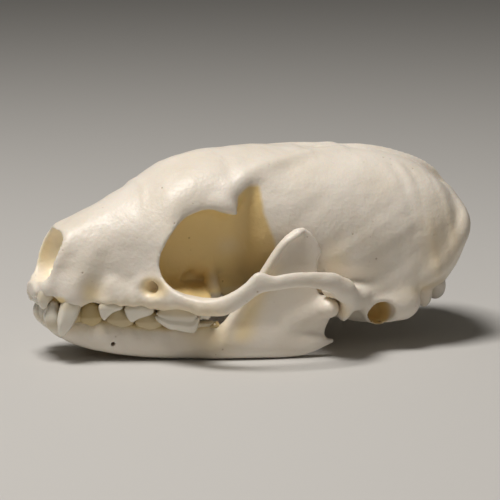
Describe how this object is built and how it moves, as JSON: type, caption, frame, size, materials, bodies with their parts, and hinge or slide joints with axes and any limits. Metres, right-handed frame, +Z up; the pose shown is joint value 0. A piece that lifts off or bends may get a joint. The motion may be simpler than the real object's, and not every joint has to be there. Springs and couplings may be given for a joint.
{
  "type": "marten skull",
  "caption": "Life-size skull of a marten with its lower jaw closed, resting on the lower edges of the jaw.",
  "frame": {"origin": "on the surface that the skull rests on, below the middle of its length", "axes": "-X to the nose, -Y to the animal's left side, +Z up"},
  "size_m": [0.0849, 0.0498, 0.037],
  "materials": {
    "bone": "dry ivory bone with a faint satin sheen",
    "teeth": "glossy greyish white tooth enamel"
  },
  "bodies": {
    "root": {"rostrum": "bone", "braincase": "bone", "zygomatic_arch_left": "bone", "zygomatic_arch_right": "bone", "auditory_bulla_left": "bone", "auditory_bulla_right": "bone", "dentary_left": "bone", "dentary_right": "bone"}
  },
  "joints": []
}
